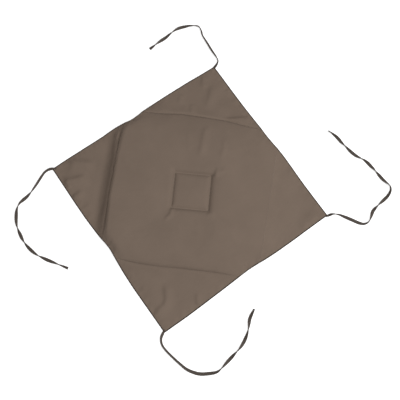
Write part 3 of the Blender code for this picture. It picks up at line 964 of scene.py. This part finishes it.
def add_tie(name, material):
    """A twisted tape that lies on the floor, gathered where it is sewn into its flap's tip."""
    tip = Vector(TIE_ROUTES[name][0])
    root = tuple(tip * (1 - TIE_ROOT / tip.length))
    flat, travelled = smooth_route([root, *TIE_ROUTES[name]], TIE_RING)
    knots = np.array(TIE_TURNS[name], float)
    angle = np.radians(np.interp(travelled / MM, knots[:, 0], knots[:, 1]))
    angle = blurred_line(angle)
    size = TIE_GATHERED + (1 - TIE_GATHERED) * smooth(travelled, TIE_ROOT, TIE_GATHER)
    half = (TIE_WIDTH / 2 - TIE_THICK / 2) * size
    height = TIE_THICK / 2 * size + TIE_GAP + half * np.abs(np.sin(angle))
    sewn_in = 1 - smooth(travelled, TIE_ROOT, 2 * TIE_ROOT)
    height = np.maximum(height, (FLAP_LIFT + PLY_HALF) * sewn_in)
    centre = np.concatenate([flat, height[:, None]], 1)
    level, upright = directions_across(centre)
    section = ribbon_section()
    places, grain = [], []
    for c, a, l, u, gone, share in zip(centre, angle, level, upright, travelled, size):
        wide, thick = math.cos(a) * l + math.sin(a) * u, math.cos(a) * u - math.sin(a) * l
        places += [c + share * (wide * x + thick * z) for x, z in section]
        grain += [(gone, x) for x, _ in section]
    # The section's points run the other way round than a tube's, so its faces are turned over
    faces = [(face[0], *face[:0:-1]) for face in tube_faces(0, len(centre), len(section))]
    tie = new_piece(f"{name}_ribbon", places, faces, material)
    lay_grain(tie, grain)
    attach(tie, f"{name}_flap")
    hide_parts(f"{name}_tie")


# ---- the sewn lines ----

GRID_POINTS = [((i, j), *turn_steps(i, j)) for i in SPAN for j in SPAN]  # each with its steps along X and Y
OUTER_POINTS = [point for point in GRID_POINTS if max(abs(point[0][0]), abs(point[0][1])) == CELLS]


def in_order(found):
    """The grid points of a list of (place along a line, grid point), in the order of their places."""
    return [p for _, p in sorted(found)]


def seam_points(name):
    """The grid points along a channel seam, in order."""
    out = SIDES[name]
    on_seam = [(p, a, b) for p, a, b in GRID_POINTS if a * out.x + b * out.y == SEAM_STEPS]
    return in_order((b * out.x - a * out.y, p) for p, a, b in on_seam)


def quilt_points():
    """The grid points round the quilted square, in order."""
    return in_order((math.atan2(b, a), p) for p, a, b in GRID_POINTS if max(abs(a), abs(b)) == QUILT_STEPS)


def side_points(name):
    """The grid points along a flap's two free sides, from one end of its seam round its tip to the other."""
    out = SIDES[name]
    on_flap = [(p, a, b) for p, a, b in OUTER_POINTS if a * out.x + b * out.y >= SEAM_STEPS]
    return in_order((b * out.x - a * out.y, p) for p, a, b in on_flap)


def short_side_points(before, after):
    """The grid points along one of the pad's short sides, between two flaps."""
    way = SIDES[before] + SIDES[after]
    cross = SIDES[after] - SIDES[before]
    on_pad = [(p, a, b) for p, a, b in OUTER_POINTS if max(abs(a), abs(b)) <= SEAM_STEPS]
    return in_order((a * cross.x + b * cross.y, p) for p, a, b in on_pad if a * way.x > 0 and b * way.y > 0)


def line_through(points, cover, ply=0, down=0.0):
    """The places of one ply's grid points, moved down."""
    return np.array([cover[ply][at(p)] for p in points]) - (0.0, 0.0, down)


STITCH = 3.0 * MM
STITCH_SHARE = 0.8  # of the stitch's length, how much of it shows
STITCH_RADIUS = 0.28 * MM
STITCH_SIDES = 6
STITCH_SHAPE = np.linspace(-0.5, 0.5, 6)  # its rings, from end to end
STITCH_ARCH = (0.9, 6.0)  # in radii: its middle's height above the line, and four times its ends' drop


def add_stitches(name, line, material, cad):
    """A row of lockstitches along a line: short threads that dive into the cloth at their ends."""
    travelled = travelled_along(line)
    count = int(travelled[-1] / STITCH)
    middle_height, end_drop = STITCH_ARCH
    places, faces = [], []
    for k in range(count):
        middle = (k + 0.5) * travelled[-1] / count
        ring_at = middle + STITCH_SHAPE * STITCH * STITCH_SHARE
        centres = np.stack([np.interp(ring_at, travelled, line[:, c]) for c in range(3)], -1)
        centres[:, 2] += STITCH_RADIUS * (middle_height - end_drop * STITCH_SHAPE ** 2)
        way = centres[-1] - centres[0]
        way /= np.linalg.norm(way)
        level = np.cross(way, (0, 0, 1.0))
        level /= np.linalg.norm(level)
        upright = np.cross(level, way)
        faces += tube_faces(len(places), len(centres), STITCH_SIDES)
        for centre in centres:
            places += ring(centre, level, upright, STITCH_RADIUS, STITCH_SIDES)
    stitches = new_piece(name, places, faces, material)
    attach(stitches, "pad")
    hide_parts(cad)


EDGE_RADIUS = 1.3 * MM
EDGE_SIDES = 8


def sewn_edge(name, points, cover, material):
    """The turned edge along some of the cover's sides: a round piece between its plies."""
    line = line_through(points, cover, down=PLY_HALF)
    places = []
    for centre, level, upright in zip(line, *directions_across(line)):
        places += ring(centre, level, upright, EDGE_RADIUS, EDGE_SIDES)
    edge = new_piece(name, places, tube_faces(0, len(line), EDGE_SIDES), material)
    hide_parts(f"{name}_seam")
    return edge


COVER_COLOUR = (0.175, 0.1325, 0.1035)
COVER_YARN = 0.55 * MM  # from one yarn to the next
# The turned edge's colour, far darker than the cover's cloth: painted shade along the rolled edge, where the
# cloth turns down away from the light. The tube's shape is the real edge.
SHADED_EDGE_COLOUR = (0.048, 0.036, 0.028)
# The thread's colour, lighter than the cloth: painted light that keeps the stitches' own shade from showing
# as dark lines along the seams
LIGHTENED_THREAD_COLOUR = (0.200, 0.154, 0.122)
TAPE_COLOUR = (0.080, 0.066, 0.056)
TAPE_YARN = 0.4 * MM


def bend_at_seam(piece):
    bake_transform(piece)


def add_cover():
    cloth = cloth_material("cover_cloth", COVER_COLOUR, COVER_YARN)
    # The turned edges get the darker colour: painted shade along all of the cover's sides
    shaded_edge_cloth = cloth_material("turned_edge", SHADED_EDGE_COLOUR, COVER_YARN)
    # Seam and quilt stitches are painted lighter than the cloth, to hide their own shade
    thread = thread_material("sewing_thread", LIGHTENED_THREAD_COLOUR)
    cover = shaped_cover(simulated_cover())

    pad = two_ply_piece("pad_cover", "pad", cover, cloth)
    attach(pad, "pad")
    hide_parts("top_cover", "bottom_cover", "filling")
    for name in SIDES:
        flap = two_ply_piece(f"{name}_flap_cloth", name, cover, cloth)
        bend_at_seam(flap)
        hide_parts(f"{name}_flap_top_ply", f"{name}_flap_bottom_ply")

        bend_at_seam(sewn_edge(f"{name}_flap_edge", side_points(name), cover, shaded_edge_cloth))
        line = line_through(seam_points(name), cover)
        add_stitches(f"{name}_seam_stitches", line, thread, f"{name}_seam_thread")

    for before, after in SHORT_SIDES:
        label = f"{before}_{after}" if before in ("front", "back") else f"{after}_{before}"
        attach(sewn_edge(f"{label}_pad_edge", short_side_points(before, after), cover, shaded_edge_cloth), "pad")

    square = quilt_points()
    for ply, name, cad in ((0, "quilt_top_stitches", "quilt_needle_thread"),
                           (1, "quilt_bottom_stitches", "quilt_bobbin_thread")):
        add_stitches(name, line_through([*square, square[0]], cover, ply), thread, cad)


def main():
    add_camera()
    add_studio()
    tape = cloth_material("tie_tape", TAPE_COLOUR, TAPE_YARN)
    for name in SIDES:
        add_tie(name, tape)
    add_cover()


main()
